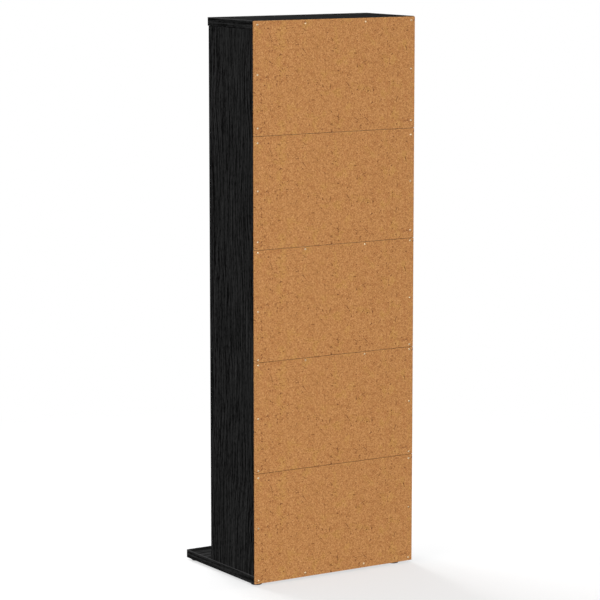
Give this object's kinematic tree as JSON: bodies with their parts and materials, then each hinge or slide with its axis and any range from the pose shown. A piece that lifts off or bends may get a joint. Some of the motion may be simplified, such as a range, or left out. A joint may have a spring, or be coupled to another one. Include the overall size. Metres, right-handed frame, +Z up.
{
  "type": "cd cabinet",
  "caption": "Narrow open shelf tower for compact discs on a deeper base plate, with a closed hardboard back and shelves set on pins.",
  "frame": {"origin": "on the floor, under the middle of the box round the whole cabinet, which is the middle of the base plate with the back panels", "axes": "+Z up; the open front faces -Y and the nailed hardboard back faces +Y; +X to the right for someone who faces the front"},
  "size_m": [0.338, 0.241, 1],
  "materials": {
    "black_oak": "black stained oak grain laminate, satin",
    "hardboard": "raw brown hardboard, matt and speckled",
    "beech": "plain turned beech",
    "zinc": "dull zinc die casting",
    "steel": "bright zinc plated steel",
    "plastic": "black moulded plastic"
  },
  "bodies": {
    "carcass": {"base_plate": "black_oak", "top_panel": "black_oak", "side_panel_left": "black_oak", "side_panel_right": "black_oak", "fixed_shelf_lower": "black_oak", "fixed_shelf_upper": "black_oak", "back_panel_1": "hardboard", "back_panel_2": "hardboard", "back_panel_3": "hardboard", "back_panel_4": "hardboard", "back_panel_5": "hardboard", "shelf_pin_lower_left_front": "steel", "shelf_pin_lower_left_rear": "steel", "shelf_pin_lower_right_front": "steel", "shelf_pin_lower_right_rear": "steel", "shelf_pin_upper_left_front": "steel", "shelf_pin_upper_left_rear": "steel", "shelf_pin_upper_right_front": "steel", "shelf_pin_upper_right_rear": "steel", "cam_lock_top_left": "zinc", "cam_lock_top_right": "zinc", "cam_lock_lower_shelf_left": "zinc", "cam_lock_lower_shelf_right": "zinc", "cam_lock_upper_shelf_left": "zinc", "cam_lock_upper_shelf_right": "zinc", "cam_bolt_top_left": "steel", "cam_bolt_top_right": "steel", "cam_bolt_lower_shelf_left": "steel", "cam_bolt_lower_shelf_right": "steel", "cam_bolt_upper_shelf_left": "steel", "cam_bolt_upper_shelf_right": "steel", "dowel_base_left": "beech", "dowel_base_right": "beech", "dowel_top_left_front": "beech", "dowel_top_left_rear": "beech", "dowel_top_right_front": "beech", "dowel_top_right_rear": "beech", "dowel_lower_shelf_left_front": "beech", "dowel_lower_shelf_left_rear": "beech", "dowel_lower_shelf_right_front": "beech", "dowel_lower_shelf_right_rear": "beech", "dowel_upper_shelf_left_front": "beech", "dowel_upper_shelf_left_rear": "beech", "dowel_upper_shelf_right_front": "beech", "dowel_upper_shelf_right_rear": "beech", "base_screw_left_front": "steel", "base_screw_left_rear": "steel", "base_screw_right_front": "steel", "base_screw_right_rear": "steel", "glide_front_left": "plastic", "glide_front_right": "plastic", "glide_rear_left": "plastic", "glide_rear_right": "plastic"},
    "lower_shelf": {"adjustable_shelf_lower": "black_oak"},
    "upper_shelf": {"adjustable_shelf_upper": "black_oak"}
  },
  "joints": [
    {"name": "lower_shelf_pull", "type": "slide", "parent": "carcass", "child": "lower_shelf", "axis": [0, -1, 0], "range_m": [0, 0.155]},
    {"name": "upper_shelf_pull", "type": "slide", "parent": "carcass", "child": "upper_shelf", "axis": [0, -1, 0], "range_m": [0, 0.155]}
  ]
}
